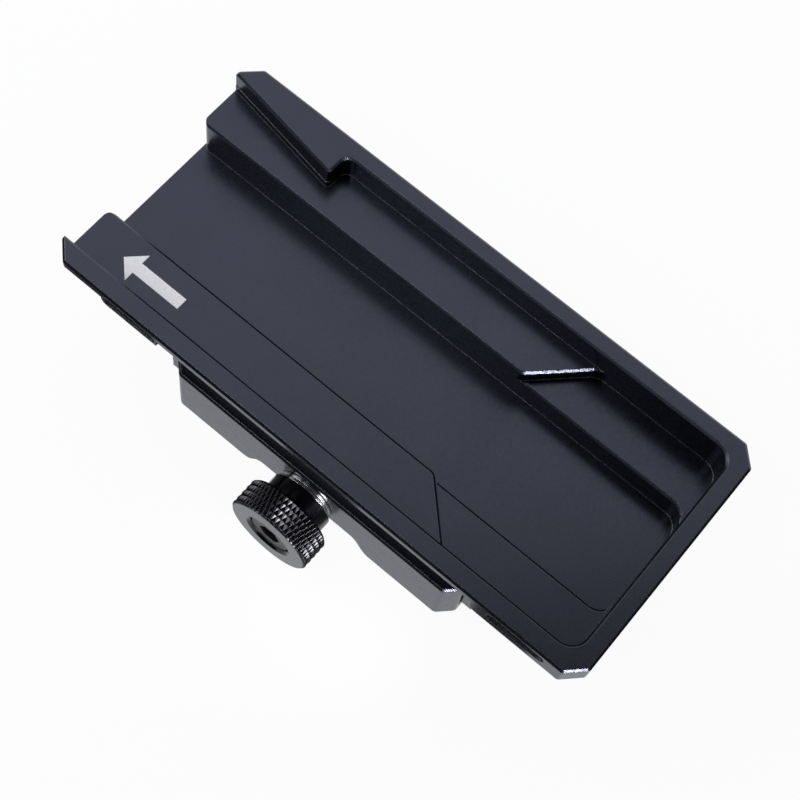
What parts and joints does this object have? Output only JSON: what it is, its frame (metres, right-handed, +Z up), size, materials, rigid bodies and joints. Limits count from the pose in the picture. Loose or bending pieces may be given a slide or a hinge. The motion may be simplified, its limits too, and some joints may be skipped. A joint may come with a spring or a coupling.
{
  "type": "tripod quick release plate",
  "caption": "Long milled tray with a stepped sliding channel, open at one end, carried on an upside-down dovetail clamp whose jaw is drawn in by a knurled knob.",
  "frame": {"origin": "centre of the clamp's seat, the downward face that a dovetail plate is drawn up against, midway between the closed jaws", "axes": "+X along the tray from its open end to its closed end, +Y from the knob towards the fixed jaw, +Z up out of the tray"},
  "size_m": [0.14, 0.073, 0.0397],
  "materials": {
    "anodised_body": "satin black anodised, milled",
    "anodised_knob": "black anodised, knurled and turned",
    "black_steel": "black oxide",
    "bright_steel": "turned",
    "spring_wire": "drawn wire",
    "white_print": "matte"
  },
  "bodies": {
    "plate": {"tray": "anodised_body", "clamp_base": "anodised_body", "base_screws": "black_steel", "spring_left": "spring_wire", "spring_right": "spring_wire"},
    "jaw": {"moving_jaw": "anodised_body", "guide_pin_left": "bright_steel", "guide_pin_right": "bright_steel", "inner_washer": "bright_steel"},
    "knob": {"knob": "anodised_knob", "clamp_screw": "black_steel", "outer_washer": "bright_steel"}
  },
  "joints": [
    {"name": "jaw_slide", "type": "slide", "parent": "plate", "child": "jaw", "axis": [0, -1, 0], "range_m": [-0.0005, 0.005], "deforming": ["spring_left", "spring_right"]},
    {"name": "knob_turn", "type": "hinge", "parent": "jaw", "child": "knob", "pos_m": [0, -0.041, 0.0037], "axis": [0, -1, 0], "range_deg": [-185, 1805]}
  ],
  "couplings": [
    {"joint": "knob_turn", "follows": "jaw_slide", "rad_per_m": 6283.2}
  ]
}
